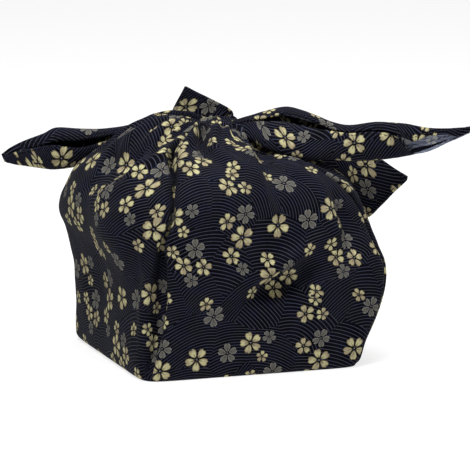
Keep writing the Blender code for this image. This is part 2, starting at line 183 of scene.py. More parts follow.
# Ridges (+) and troughs (-) of the sides towards the viewer, by the start, middle and end
# of their path on the plane of the photographed view. They fade towards the floor, towards
# their ends and where the side turns away.
FOLD_FOOT = 4.0
FOLD_FOOT_RISE = 12.0
FOLD_END = 0.08
FOLD_END_POWER = 0.5
FOLD_FACING = 2.0
FOLD_COLUMNS = ("x0", "u0", "x1", "u1", "x2", "u2", "width", "rise")
FOLDS = (
    (-104, 135, -76, 153, -34, 177, 5, 5.5),
    (-94, 124, -64, 145, -28, 168, 6, -7.5),
    (-84, 114, -54, 136, -30, 155, 5, 4.5),
    (-48, 160, -34, 169, -10, 178, 4, 4),
    (-17, 175, -30, 150, -34, 134, 4.5, -4),
    (-34, 136, -31, 112, -37, 64, 4, -2),
    (-10, 175, -16, 165, -22, 155, 2.8, 4.5),
    (-11, 172, -9.5, 162, -8, 150, 3.8, -12),
    (-7, 172.5, 4, 172, 15, 168.5, 5, 3.5),
    (17, 168, 26, 144, 40, 103, 5, 6),
    (27, 162, 37.5, 136, 50, 100, 7, -7),
    (44, 158, 60, 138, 84, 120, 9, 3),
    (35, 58, 53, 70, 75, 86, 5.5, 10),
    (26, 37, 45, 47, 67, 61, 9.5, -15.5),
    (72, 44, 88, 52, 100, 66, 10, 3),
    (88, 116, 97, 99, 100, 80, 6, -9),
    (80, 114, 88, 95, 84, 76, 8, 4),
    (-24, 110, -22, 60, -36, 10, 11, 2.5),
    (0, 140, 6, 110, -4, 80, 14, 1.8),
    (-53, 60, -53.5, 34, -53, 6, 4, 2.6),
    (-62, 96, -60, 60, -64, 24, 8, -3.4),
    (-57, 86, -56, 74, -56, 62, 2, 1.8),
    (-100, 118, -84, 96, -70, 60, 10, 2.6),
    (-96, 92, -88, 66, -90, 28, 9, -4.4),
)

# The gathers that run down from the neck all round: how many, how deep, how they swing as
# they come down, and the angle at which they start. They begin at one section on the way
# up and have their full depth from another.
GATHER_COLUMNS = ("number", "depth", "swing", "turn")
GATHERS = (
    (17, 1.7, 0.35, 0.3),
    (29, 0.9, -0.20, 1.9),
    (11, 1.5, 0.15, 4),
)
GATHER_FROM = 10.5
GATHER_FULL = 17.0
GATHER_POWER = 1.5

# Soft unevenness of the whole cloth: the size and rise of its swells, and the height over
# the floor at which they have their full rise.
SWELL_COLUMNS = ("size", "height")
SWELLS = (
    (52, 1.9),
    (24, 0.9),
    (11, 0.35),
)
SWELL_FOOT = 30.0

# The tied ends. Each row is one section of the rolled end: the two points between which
# it stands in the view plane, its distance, its thickness, how far its top leans away,
# and the part of its front, from -1 at the low point to 1 at the top, that stays open.
TAIL_COLUMNS = (
    "top_x", "top_z", "low_x", "low_z", "y", "depth", "lean", "open_low", "open_high",
)
LEFT_TAIL = (
    (-5, 174.5, -5, 165, 1, 9, 0, -0.10, 0.40),
    (-28, 176, -28, 168, 27, 8, 0, 0.10, 0.40),
    (-50, 169.5, -50, 160, 45, 9, 0, 0.10, 0.40),
    (-70, 162.8, -70, 151, 50, 12, 0, 0.05, 0.42),
    (-88, 161.8, -88, 143, 45, 16, 0, 0.02, 0.42),
    (-104, 163.3, -104, 135.5, 38, 19, 0, 0.05, 0.42),
    (-121, 164.8, -121, 133.5, 34, 20, 0, 0.22, 0.42),
    (-131, 160.5, -131, 134.5, 32, 17, 0, 0.32, 0.42),
    (-146, 155, -144, 136.5, 31, 10, 0, 0.34, 0.42),
    (-155.5, 150, -153, 138, 30, 5, 0, 0.34, 0.42),
    (-162, 145, -160, 140.3, 30, 2, 0, 0.34, 0.42),
)
RIGHT_TAIL = (
    (5, 174.5, 5, 163, -3, 9, 0, 0.56, 0.66),
    (22, 181, 22, 168, -16, 13, 14, 0.54, 0.66),
    (36, 186, 36, 162, -23, 18, 22, 0.50, 0.68),
    (51, 189.5, 51, 157.5, -25, 20, 24, 0.42, 0.74),
    (63, 187, 63, 154.5, -25, 20, 24, 0.40, 0.76),
    (75, 182.5, 75, 153.5, -23, 19, 20, 0.46, 0.74),
    (86, 178, 86, 152.5, -20, 17, 13, 0.54, 0.68),
    (99, 175.5, 99, 150, -16, 15, 6, 0.56, 0.66),
    (118, 177.5, 118, 149.5, -12, 14, 2, 0.50, 0.62),
    (134, 176.5, 134, 150.5, -9, 13, 0, 0.20, 0.36),
    (147, 175, 147, 152.5, -7, 9, 0, -1, -0.10),
    (159, 173, 159, 155, -6, 5, 0, -1, 0.10),
    (173, 172, 173, 161.5, -5, 4, 0, -1, 0),
    (182, 172, 181, 165, -4, 2.5, 0, -1, -0.70),
    (190, 172.6, 188.8, 168.6, -4, 1, 0, -1, -0.80),
)
CORNER_TAIL = (
    (5, 173, 5, 164, 2, 8, 0, -0.20, 0.40),
    (26, 174, 26, 165.5, 24, 8, 0, -0.20, 0.40),
    (48, 170, 48, 153, 34, 8, 0, -0.30, 0.50),
    (72, 165, 72, 138, 38, 8, 0, -0.60, 0.70),
    (92, 158, 92, 126, 36, 7, 0, -1, 1),
    (104, 152, 104, 104, 32, 7, 0, -1, 1),
    (113, 147.5, 113, 97, 30, 7, 0, -1, 1),
    (123, 142.5, 123, 106, 28, 6, 0, -1, 1),
    (133, 135.8, 133, 117, 26, 4, 0, -1, 1),
    (139, 132.2, 138.5, 122.5, 25, 2, 0, -1, 1),
    (143.5, 129.6, 142.9, 126.6, 25, 0, 0, -1, 1),
)
PEAK_TAIL = (
    (-10, 160, 9, 158, 3, 4, 0, -1, 1),
    (-24, 170, 14, 168, 9, 5, 0, -1, 1),
    (-33, 178.5, 12.5, 176, 12, 5, 0, -1, 1),
    (-33, 183, 10.5, 182.5, 13, 4, 0, -1, 1),
    (-29.5, 190, -3, 190, 13.5, 3, 0, -1, 1),
    (-26, 196.5, -16, 196.5, 13.5, 1, 0, -1, 1),
    (-24.2, 200.3, -22.8, 200.3, 13.5, 0, 0, -1, 1),
)

# Steps along a rolled end between two rows of its table, how square the roll is, and how
# late it goes flat as it opens.
TAIL_STEPS_LONG = 6
ROLL_POWER = 0.85
UNROLL_POWER = 3

# The layers of a rolled end, from the outer one in: how much smaller each is, how many
# steps lie across it, and how far its upper and lower edges are drawn in, in radians.
# Each lies a little behind the one before.
LAYER_COLUMNS = ("size", "steps", "top_in", "low_in")
LAYERS = (
    (1, 30, 0, 0),
    (0.84, 12, 0.5, 0),
    (0.70, 10, 0.5, 0.5),
    (0.56, 8, 0.9, 0.5),
)
LAYER_GAP = 0.8

# The knot, a gathered lump that fills the neck: its ridges and how they wind, its steps
# round and up, how near it comes to its poles, and how its flat cloth is stretched upwards.
KNOT_CENTRE = (0.0, -1.0, 169.5)
KNOT_SIZE = (20.5, 17.5, 9.5)
KNOT_RIDGES = 7
KNOT_RIDGE_RISE = 0.06
KNOT_TWIST = 2.0
KNOT_STEPS = (48, 24)
KNOT_POLE = 0.499 * math.pi
KNOT_STRETCH = 2.0

# One repeat of the print, in millimetres of flat cloth: blossoms in loose clusters, each
# with its place, radius, turn and tone (0 gold, 1 grey). The repeat steps sideways by
# REPEAT_ACROSS, and each row of repeats is shifted by half of that.
REPEAT_ACROSS = 124.0
REPEAT_UP = 98.0
BLOSSOM_COLUMNS = ("x", "y", "radius", "turn", "tone")
BLOSSOMS = (
    (0, 0, 9.5, 10, 0),
    (-1, 13, 6, 40, 0),
    (16, 7, 6, 15, 1),
    (21, -3, 7.4, 60, 0),
    (9.5, -13, 7, 25, 0),
    (-12, -13, 5.6, 5, 0),
    (9, 38, 9.3, 50, 0),
    (33, 41, 7.6, 20, 1),
    (51, 48, 8.6, 35, 0),
    (65, 52, 5.2, 55, 1),
    (60, 37, 4.6, 12, 0),
    (34, 19, 5.4, 30, 0),
    (52, 22, 5.2, 66, 0),
    (69, 24, 7.6, 18, 1),
    (58, 12, 6.9, 45, 0),
    (73, 10, 6.7, 8, 0),
    (62, 1, 5.5, 28, 1),
    (42, -13, 5.6, 50, 0),
    (92, 43, 6.6, 22, 0),
    (106, 48, 7.2, 58, 1),
    (105, 31, 9, 33, 0),
    (96, 17, 7, 14, 0),
    (103, 7, 5, 44, 1),
    (12, 80, 5.4, 26, 0),
    (21, 70, 8, 62, 1),
    (93, 68, 7.2, 38, 0),
    (106, 67, 5.2, 4, 0),
    (101, 79, 5.4, 52, 0),
)

# Where the repeat starts on each panel, from the near right-hand wall round by the back.
PANEL_COLUMNS = ("across", "up")
PANEL_STARTS = (
    (-66, 22),
    (20, 60),
    (70, 10),
    (34, 80),
)

# The tied ends' starts on the repeat, whether the faces are turned over, the side to which
# the roll opens (1 towards the viewer, -1 away), its layers, and the row at which the
# inner ones end, over a share of a row and down to a share of their width.
TAIL_START_COLUMNS = ("along", "across", "turned", "side", "layers", "inner_to")
TAIL_STARTS = (
    (-32, -39, False, 1, 4, 10.5),
    (60, 70, True, 1, 4, 9),
    (95, 20, False, -1, 1, 10.5),
    (74, 22, False, -1, 1, 10.5),
)
INNER_FADE = 0.7
INNER_LEFT = 0.06

# The picture: its width at the object, the point it is aimed at, the camera's distance,
# the width of its sensor, and how far it sees, in metres.
VIEW_WIDTH = 352.5
VIEW_AIM = (13.5, 0.0, 89.5)
VIEW_DISTANCE = 5000.0
SENSOR = 36.0
CLIP_END = 50.0

# The order of a face's corners seen from its other side. It starts at the same corner, so
# that both faces of a sheet are split along the same diagonal.
TURNED_OVER = (0, 3, 2, 1)

# The corners of a grid's faces, as all of its rows and columns but the last or the first.
STARTS = slice(None, -1)
ENDS = slice(1, None)
GRID_CORNERS = ((STARTS, STARTS), (STARTS, ENDS), (ENDS, ENDS), (ENDS, STARTS))


def rows_of(columns, rows):
    """Rows of a table as dictionaries, so that each number is read by its name."""
    return [dict(zip(columns, row)) for row in rows]


def spline_table(columns, rows, positions):
    """All columns of a table on a smooth curve through its rows, at many positions."""
    table = np.array(rows, float)
    last = len(table) - 1
    start = np.clip(positions.astype(int), 0, last - 1)
    t = (positions - start)[:, None]
    before = table[np.maximum(start - 1, 0)]
    here = table[start]
    there = table[start + 1]
    after = table[np.minimum(start + 2, last)]
    values = (
        here
        + 0.5 * t * (there - before)
        + t ** 2 * (before - 2.5 * here + 2.0 * there - 0.5 * after)
        + t ** 3 * (1.5 * (here - there) + 0.5 * (after - before))
    )
    return {name: values[:, number] for number, name in enumerate(columns)}


def interpolated(columns, rows, positions):
    """The columns of a table, straight between its rows; the first column is the place."""
    table = np.array(rows, float)
    return {
        name: np.interp(positions, table[:, 0], table[:, number])
        for number, name in enumerate(columns)
    }


def turned_square(angle, power):
    """A point of the rounded square, turned as the wrapped box is."""
    radius = (np.abs(np.cos(angle)) ** power + np.abs(np.sin(angle)) ** power) ** (-1.0 / power)
    turn = angle + math.radians(BOX_TURN)
    return radius * np.cos(turn), radius * np.sin(turn)


def spread_between(low, high, share):
    """The place between two others, at the low one for -1 and at the high one for 1."""
    return (high + low) / 2.0 + share * ((high - low) / 2.0)


def wall_points(rows, stations):
    """Points of the plain body. Whole stations are the box's corners, the near one first."""
    section = spline_table(SECTION_COLUMNS, SECTIONS, rows)
    section = {name: values[:, None] for name, values in section.items()}
    side = np.floor(stations)
    angle = np.radians(90.0 * side - 90.0) + np.arctan(2.0 * (stations - side) - 1.0)
    x, y = turned_square(angle, section["square"])
    around = np.linspace(0.0, math.tau, REACH_STEPS + 1)[None, :]
    all_x, all_y = turned_square(around, section["square"])
    reach_x = all_x.max(axis=1, keepdims=True)
    reach_y = all_y.max(axis=1, keepdims=True)
    across = spread_between(section["left"], section["right"], x / reach_x)
    away = spread_between(section["front"], section["back"], y / reach_y)
    height = np.broadcast_to(section["height"], x.shape)
    return np.stack((across, away, height), axis=-1)


def unit(vectors):
    """Vectors scaled to length 1."""
    return vectors / np.maximum(np.linalg.norm(vectors, axis=-1, keepdims=True), 1.0e-9)


def wall_normals(rows, stations):
    """The outward directions of the plain body."""
    after = wall_points(rows, stations + DIRECTION_STEP)
    before = wall_points(rows, stations - DIRECTION_STEP)
    above = wall_points(np.minimum(rows + SLOPE_STEP, len(SECTIONS) - 1.0), stations)
    below = wall_points(np.maximum(rows - SLOPE_STEP, 0.0), stations)
    return unit(np.cross(after - before, above - below))


def pleat_offsets(pleat, spread):
    """A pleat's turning points, from its lip over its floor and back to its folded edge."""
    lip = pleat["lip"] - spread
    edge = pleat["edge"] + spread
    far = edge + pleat["tuck"]
    folded = np.clip(pleat["tuck"] / FULL_TUCK, 0.0, 1.0)
    parting = 0.5 * (1.0 - folded) * pleat["middle"]
    back = pleat["middle"] + parting
    front = pleat["middle"] - parting
    surface = np.zeros_like(lip)
    return (
        (lip - PLEAT_ROLL, surface),
        (lip, LIP_SINK * pleat["floor"]),
        (lip + TURN_REACH * PLEAT_ROLL, pleat["floor"]),
        (far, pleat["floor"]),
        (far + TURN_REACH * PLEAT_ROLL, back),
        (edge + (FOLDED_EDGE * folded - OPEN_EDGE) * PLEAT_ROLL, front),
        (edge + RISER_EDGE * (1.0 - folded) * PLEAT_ROLL, 0.5 * front),
        (edge + PLEAT_ROLL, surface),
    )


def near_pleat_measures(shared, rows):
    """The near edge's pleat: the shared measures with its own differences."""
    near = interpolated(NEAR_PLEAT_COLUMNS, NEAR_PLEAT, rows)
    pleat = dict(shared)
    for name in ("lip", "edge", "floor"):
        pleat[name] = shared[name] + near[name]
    pleat["middle"] = shared["middle"] + near["floor"] / 2.0
    return pleat


def pleat_controls(rows):
    """For each row, the stations and depths of every pleat's turning points."""
    section = spline_table(SECTION_COLUMNS, SECTIONS, rows)
    side_length = (section["right"] - section["left"]) / TURNED_WIDTH
    shared = interpolated(PLEAT_COLUMNS, PLEAT, rows)
    pleats = [near_pleat_measures(shared, rows)] + [shared] * (CORNERS - 1)
    stations = []
    depths = []
    for corner, gap in enumerate(rows_of(GAP_COLUMNS, GAPS)):
        opened = np.clip((rows - gap["start"] + GAP_RISE_BEFORE) / GAP_RISE, 0.0, 1.0)
        closing = np.clip((GAP_CLOSED - rows) / GAP_RISE, 0.0, 1.0)
        for along, depth in pleat_offsets(pleats[corner], gap["spread"] * opened * closing):
            stations.append(corner + along / side_length)
            depths.append(depth)
    return np.array(stations).T, np.array(depths).T


def step_share(step, count):
    """How far along its stretch a column lies; long stretches are denser at their ends."""
    if count == LONG_STRETCH:
        return 0.5 - 0.5 * math.cos(math.pi * step / count)
    return step / count


def dense_columns(controls, whole_turn):
    """The body's columns between its turning points, rounded, row by row."""
    controls = np.hstack((controls, controls[:, :1] + whole_turn))
    columns = []
    for control, count in enumerate((PLEAT_STEPS + (WALL_STEPS,)) * CORNERS):
        for step in range(count):
            share = step_share(step, count)
            columns.append(controls[:, control] * (1.0 - share) + controls[:, control + 1] * share)
    columns = np.array(columns).T
    for _ in range(ROUNDING_PASSES):
        before = np.hstack((columns[:, -1:] - whole_turn, columns[:, :-1]))
        after = np.hstack((columns[:, 1:], columns[:, :1] + whole_turn))
        columns = 0.25 * before + 0.5 * columns + 0.25 * after
    return columns


def near_path(x, up, fold):
    """Distance in the view plane to a fold's path, and how far along it lies."""
    path = [(fold["x0"], fold["u0"]), (fold["x1"], fold["u1"]), (fold["x2"], fold["u2"])]
    best = np.full(x.shape, math.inf)
    along = np.zeros(x.shape)
    for part, (start, end) in enumerate(zip(path, path[1:])):
        run_x = end[0] - start[0]
        run_u = end[1] - start[1]
        share = ((x - start[0]) * run_x + (up - start[1]) * run_u) / (run_x ** 2 + run_u ** 2)
        share = np.clip(share, 0.0, 1.0)
        gap = np.hypot(x - start[0] - share * run_x, up - start[1] - share * run_u)
        along = np.where(gap < best, (part + share) / 2.0, along)
        best = np.minimum(gap, best)
    return best, along


def fold_rise(points, normals):
    """How far the ridges and troughs move the sides towards the viewer."""
    tilt = math.radians(VIEW_TILT)
    facing = np.maximum(0.0, normals[..., 2] * math.sin(tilt) - normals[..., 1] * math.cos(tilt))
    up = points[..., 2] * math.cos(tilt) + points[..., 1] * math.sin(tilt)
    above_floor = np.clip((points[..., 2] - FOLD_FOOT) / FOLD_FOOT_RISE, 0.0, 1.0)
    rise = np.zeros(up.shape)
    for fold in rows_of(FOLD_COLUMNS, FOLDS):
        gap, along = near_path(points[..., 0], up, fold)
        ends = np.sin(math.pi * np.clip(along, FOLD_END, 1.0 - FOLD_END)) ** FOLD_END_POWER
        rise += fold["rise"] * ends * np.exp(-((gap / fold["width"]) ** 2))
    return rise * np.minimum(1.0, FOLD_FACING * facing) * above_floor


def gather_rise(rows, stations):
    """How far the gathers below the neck move the cloth."""
    begun = np.clip((rows - GATHER_FROM) / (GATHER_FULL - GATHER_FROM), 0.0, 1.0)
    rise = np.zeros(stations.shape)
    for gather in rows_of(GATHER_COLUMNS, GATHERS):
        angle = math.tau * gather["number"] * stations / CORNERS
        swing = gather["swing"] * (rows[:, None] - GATHER_FULL)
        rise += gather["depth"] * np.sin(angle + swing + gather["turn"])
    return rise * begun[:, None] ** GATHER_POWER


def swell_rise(points):
    """Smooth unevenness of the cloth, less towards the floor."""
    places = points.reshape(-1, 3)
    rise = np.zeros(len(places))
    for swell in rows_of(SWELL_COLUMNS, SWELLS):
        heights = [noise.noise(Vector(place / swell["size"])) for place in places]
        rise += swell["height"] * np.array(heights)
    foot = np.clip(places[:, 2] / SWELL_FOOT, 0.0, 1.0)
    return (rise * foot).reshape(points.shape[:2])


def run_lengths(points, axis):
    """Lengths along the rows or the columns of a grid of points, from its start."""
    steps = np.linalg.norm(np.diff(points, axis=axis), axis=-1)
    total = np.cumsum(steps, axis=axis)
    pad = [(0, 0), (0, 0)]
    pad[axis] = (1, 0)
    return np.pad(total, pad)


def slope_lengths(points):
    """Lengths up the slope of a grid of points, square to its rows."""
    along = unit(np.roll(points, -1, axis=1) - np.roll(points, 1, axis=1))
    along = (along[1:] + along[:-1]) / 2.0
    steps = np.diff(points, axis=0)
    square = steps - along * (steps * along).sum(axis=-1, keepdims=True)
    return np.pad(np.cumsum(np.linalg.norm(square, axis=-1), axis=0), ((1, 0), (0, 0)))


def slide_lengths(points, column):
    """How far a column moves along the rows as it goes up."""
    following = (column + 1) % points.shape[1]
    along = unit(points[:, following] - points[:, column - 1])
    along = (along[1:] + along[:-1]) / 2.0
    steps = np.diff(points[:, column], axis=0)
    return np.pad(np.cumsum((steps * along).sum(axis=-1)), (1, 0))


def grid_faces(index, flat):
    """A grid's faces with their cloth coordinates, row by row."""
    quads = np.stack([index[place].ravel() for place in GRID_CORNERS], axis=-1)
    coordinates = np.stack([flat[place].reshape(-1, 2) for place in GRID_CORNERS], axis=1)
    return quads, coordinates


def body_points(rows, plain, stations, depths):
    """The plain body with its folds, gathers, swells and pleats, and its lowered neck."""
    normals = wall_normals(rows, stations)
    rise = fold_rise(plain, normals) + gather_rise(rows, stations) + swell_rise(plain)
    points = plain + normals * (rise - depths)[..., None]
    begun = np.clip((rows - NECK_FALL_FROM) / (NECK_FALL_FULL - NECK_FALL_FROM), 0.0, 1.0)
    fall = NECK_FALL * np.maximum(points[..., 0] - NECK_FALL_LEFT, 0.0)
    points[..., 2] -= fall * begun[:, None]
    return points


def panel_coordinates(points, plain, columns, start):
    """Cloth coordinates of one panel, laid out from the middle of its wall."""
    middle = sum(PLEAT_STEPS[FLOOR_STRETCH + 1:]) + WALL_STEPS // 2
    across = run_lengths(points[:, columns], 1)
    across -= across[:, middle:middle + 1]
    across += slide_lengths(plain, columns[middle])[:, None]
    up = slope_lengths(plain)[:, columns]
    return np.stack((across + start["across"], up + start["up"]), axis=-1)


def body_sheet():
    """The body's middle surface and its base, with their cloth coordinates."""
    last = len(SECTIONS) - 1
    rows = np.linspace(0.0, last, last * ROWS_PER_SECTION + 1)
    stations, depths = map(dense_columns, pleat_controls(rows), (CORNERS, 0))
    plain = wall_points(rows, stations)
    points = body_points(rows, plain, stations, depths)
    around = points.shape[1]
    index = np.arange(points[..., 0].size).reshape(-1, around)
    per_corner = around // CORNERS
    floor_end = sum(PLEAT_STEPS[:FLOOR_STRETCH + 1])
    floor_from = per_corner - PLEAT_STEPS[FLOOR_STRETCH]
    quads = []
    coordinates = []
    for corner, start in enumerate(rows_of(PANEL_COLUMNS, PANEL_STARTS)):
        first = corner * per_corner + floor_end
        columns = np.arange(first, first + per_corner + 1) % around
        flat = panel_coordinates(points, plain, columns, start)
        panel_quads, panel_flat = grid_faces(index[:, columns], flat)
        gap = rows_of(GAP_COLUMNS, GAPS)[(corner + 1) % CORNERS]
        ring, step = np.divmod(np.arange(len(panel_quads)), per_corner)
        whole = (step < floor_from) | (ring < gap["start"] * ROWS_PER_SECTION)
        quads.append(panel_quads[whole])
        coordinates.append(panel_flat[whole])
    points = points.reshape(-1, 3)
    base_quads, base_flat, base_points = base_patch(points[:around], len(points))
    quads = np.vstack(quads + [base_quads])
    return np.vstack((points, base_points)), quads, np.vstack(coordinates + [base_flat])


def base_patch(rim, first):
    """The flat base, as rings that shrink to a small middle one."""
    around = len(rim)
    centre = rim.mean(axis=0)
    shrunk = np.array([centre + (rim - centre) * share for share in BASE_RINGS])
    rings = np.vstack((rim[None], shrunk))
    index = np.vstack((np.arange(around), first + np.arange(shrunk[..., 0].size).reshape(-1, around)))
    wrapped = np.append(np.arange(around), 0)
    quads, coordinates = grid_faces(index[::-1, wrapped], rings[::-1, wrapped, :2])
    return quads, coordinates, shrunk.reshape(-1, 3)


def roll_section(start, end, opened, steps):
    """One open turn round a section, blended to a flat bow where the end is unrolled."""
    share = np.linspace(0.0, 1.0, steps + 1)
    angle = start + (end - start) * share
    rolled_away = np.copysign(np.abs(np.cos(angle)) ** ROLL_POWER, np.cos(angle))
    rolled_up = np.copysign(np.abs(np.sin(angle)) ** ROLL_POWER, np.sin(angle))
    flat_up = 1.0 - 2.0 * share
    flat_away = 1.0 - flat_up * flat_up
    away = rolled_away + opened * (flat_away - rolled_away)
    up = rolled_up + opened * (flat_up - rolled_up)
    return away, up


def rolled_line(row, begin, position):
    """The points across a rolled end at one place, from its outer layer to the inmost."""
    top = np.array((row["top_x"], row["y"] + row["lean"] / 2.0, row["top_z"]))
    low = np.array((row["low_x"], row["y"] - row["lean"] / 2.0, row["low_z"]))
    half = (top - low) / 2.0
    start = math.pi - math.asin(np.clip(row["open_high"], -1.0, 1.0))
    end = -math.pi - math.asin(np.clip(row["open_low"], -1.0, 1.0))
    opened = np.clip((row["open_high"] - row["open_low"]) / 2.0, 0.0, 1.0) ** UNROLL_POWER
    bow = np.array((0.0, begin["side"] * max(row["depth"], 0.0) / 2.0, 0.0))
    behind = np.array((0.0, LAYER_GAP, 0.0))
    ended = np.clip((position - begin["inner_to"]) / INNER_FADE, 0.0, 1.0)
    line = []
    for turn, layer in enumerate(rows_of(LAYER_COLUMNS, LAYERS[:begin["layers"]])):
        first = start - layer["top_in"] * (1.0 - opened)
        last = end + layer["low_in"] * (1.0 - opened)
        size = layer["size"]
        if turn:
            first = last + (first - last) * (1.0 - (1.0 - INNER_LEFT) * ended)
            size = size + (1.0 - size) * ended
        away, up = roll_section(first, last, opened, layer["steps"])
        place = up[:, None] * half + away[:, None] * bow
        line.append(((top + low) / 2.0 + place * size + behind * turn)[::(-1) ** turn])
    return np.vstack(line)


def tail_sheet(table, begin):
    """A rolled end's middle surface with its cloth coordinates, its print side outside."""
    positions = np.arange((len(table) - 1) * TAIL_STEPS_LONG + 1) / TAIL_STEPS_LONG
    rows = spline_table(TAIL_COLUMNS, table, positions)
    lines = []
    for number, position in enumerate(positions):
        row = {name: values[number] for name, values in rows.items()}
        lines.append(rolled_line(row, begin, position))
    grid = np.array(lines)
    across = run_lengths(grid, 1) + begin["across"]
    along = run_lengths(grid.mean(axis=1, keepdims=True), 0) + begin["along"]
    flat = np.stack((np.broadcast_to(along, across.shape), across), axis=-1)
    quads, coordinates = grid_faces(np.arange(across.size).reshape(across.shape), flat)
    if begin["turned"]:
        quads = quads[:, TURNED_OVER]
        coordinates = coordinates[:, TURNED_OVER]
    return grid.reshape(-1, 3), quads, coordinates


def knot_sheet():
    """The gathered cloth of the knot, ridged round its middle."""
    around, up = KNOT_STEPS
    turn = np.linspace(0.0, math.tau, around + 1)
    rise = np.linspace(-KNOT_POLE, KNOT_POLE, up + 1)
    turns, rises = np.meshgrid(turn, rise)
    level = np.cos(rises)
    ball = np.stack((np.cos(turns) * level, np.sin(turns) * level, np.sin(rises)), axis=-1)
    ridge = 1.0 + KNOT_RIDGE_RISE * np.cos(KNOT_RIDGES * turns + KNOT_TWIST * ball[..., 2])
    grid = ball * ridge[..., None] * np.array(KNOT_SIZE) + np.array(KNOT_CENTRE)
    index = np.arange(turns.size).reshape(turns.shape)
    index[:, -1] = index[:, 0]
    flat = np.stack((turns * KNOT_SIZE[0], rises * KNOT_SIZE[2] * KNOT_STRETCH), axis=-1)
    quads, coordinates = grid_faces(index, flat)
    return grid.reshape(-1, 3), quads, coordinates


def grid_normals(points, quads):
    """Directions square to a surface at its points."""
    a, b, c, d = (points[quads[:, corner]] for corner in range(4))
    square = np.cross(c - a, d - b)
    normals = np.zeros_like(points)
    for corner in range(4):
        np.add.at(normals, quads[:, corner], square)
    return unit(normals)


def rim_edges(quads):
    """Edges that only one face has, in the face's direction."""
    edges = np.vstack([quads[:, (corner, (corner + 1) % 4)] for corner in range(4)])
    have = set(map(tuple, edges.tolist()))
    return [edge for edge in map(tuple, edges.tolist()) if (edge[1], edge[0]) not in have]


def hem_distances(points, edges):
    """How far each point of a sheet is from its hem."""
    if not edges:
        return np.full(len(points), NO_HEM)
    ends = sorted({end for edge in edges for end in edge})
    tree = kdtree.KDTree(len(ends))
    for number, end in enumerate(ends):
        tree.insert(points[end], number)
    tree.balance()
    return np.array([tree.find(point)[2] for point in points])


def thick_sheet(points, quads, coordinates):
    """Both faces and the rim of a thin sheet, thicker at its hem."""
    normals = grid_normals(points, quads)
    edges = rim_edges(quads)
    hem = hem_distances(points, edges)
    doubled = np.clip((HEM_WIDTH - hem) / HEM_STEP + 0.5, 0.0, 1.0)
    half = (HALF_CLOTH + (HALF_HEM - HALF_CLOTH) * doubled)[:, None]
    count = len(points)
    vertices = np.vstack((points + normals * half, points - normals * half))
    faces = quads.tolist() + (quads[:, TURNED_OVER] + count).tolist()
    corner_flat = np.vstack((coordinates, coordinates[:, TURNED_OVER]))
    place = {}
    for quad, flat in zip(quads.tolist(), coordinates.tolist()):
        place.update(zip(quad, flat))
    rim_flat = []
    for start, end in edges:
        faces.append([end, start, start + count, end + count])
        rim_flat.append([place[end], place[start], place[start], place[end]])
    if rim_flat:
        corner_flat = np.vstack((corner_flat, np.array(rim_flat)))
    reverse = [0] * len(quads) + [1] * len(quads) + [0] * len(edges)
    return vertices, faces, corner_flat, reverse, np.tile(hem, 2)


def blossom_places(coordinates):
    """For each face, its corners in the measure of the nearest blossom, and its tone."""
    chart = dict(zip(BLOSSOM_COLUMNS, np.array(BLOSSOMS).T))
    centre = coordinates.mean(axis=1)
    shift = centre[:, None, :] - np.stack((chart["x"], chart["y"]), axis=-1)[None]
    up = np.round(shift[..., 1] / REPEAT_UP)
    x = shift[..., 0] - up * REPEAT_ACROSS / 2.0
    across = np.round(x / REPEAT_ACROSS)
    x = x - across * REPEAT_ACROSS
    y = shift[..., 1] - up * REPEAT_UP
    nearest = np.argmin(np.hypot(x, y) / chart["radius"], axis=1)
    picked = np.arange(len(centre))
    from_centre = coordinates - centre[:, None, :]
    local_x = from_centre[..., 0] + x[picked, nearest][:, None]
    local_y = from_centre[..., 1] + y[picked, nearest][:, None]
    turn = np.radians(chart["turn"][nearest])[:, None]
    radius = chart["radius"][nearest][:, None]
    places = np.stack((
        (local_x * np.cos(turn) + local_y * np.sin(turn)) / radius,
        (local_y * np.cos(turn) - local_x * np.sin(turn)) / radius,
    ), axis=-1)
    return places, chart["tone"][nearest]


def world_places(points):
    """Places of the view frame, in metres of the world frame."""
    turn = -math.radians(BOX_TURN)
    matrix = np.array((
        (math.cos(turn), -math.sin(turn), 0.0),
        (math.sin(turn), math.cos(turn), 0.0),
        (0.0, 0.0, 1.0),
    ))
    return np.array(points) @ matrix.T * MM


def cloth_sheets():
    """The body, the knot and the tied ends, each as a sheet with its thickness."""
    tails = (LEFT_TAIL, RIGHT_TAIL, CORNER_TAIL, PEAK_TAIL)
    sheets = [body_sheet(), knot_sheet()]
    sheets += [tail_sheet(*pair) for pair in zip(tails, rows_of(TAIL_START_COLUMNS, TAIL_STARTS))]
    return [thick_sheet(*sheet) for sheet in sheets]


def linked(name, data):
    """A new object in the scene."""
    item = bpy.data.objects.new(name, data)
    bpy.context.scene.collection.objects.link(item)
    return item


def cloth_object():
    """The whole cloth as one mesh, with its print's coordinates and its hem's distance."""
    vertices, sheet_faces, flats, reverses, hems = zip(*cloth_sheets())
    faces = []
    first = 0
    for points, own_faces in zip(vertices, sheet_faces):
        faces += [[first + corner for corner in face] for face in own_faces]
        first += len(points)
    flat = np.vstack(flats)
    places, tones = blossom_places(flat)
    mesh = bpy.data.meshes.new("furoshiki_cloth")
    mesh.from_pydata(world_places(np.vstack(vertices)).tolist(), [], faces)
    for name, values in (("cloth", flat * MM), ("blossom", places)):
        mesh.uv_layers.new(name=name).data.foreach_set("uv", values.ravel())
    hem = np.concatenate(hems)
    for name, domain, values in (("blossom_tone", "FACE", tones), ("hem", "POINT", hem)):
        mesh.attributes.new(name, "FLOAT", domain).data.foreach_set("value", values)
    for material in (print_material(), reverse_material()):
        mesh.materials.append(material)
    mesh.polygons.foreach_set("material_index", np.concatenate(reverses))
    mesh.shade_smooth()
    mesh.update()
    return linked("furoshiki_cloth", mesh)


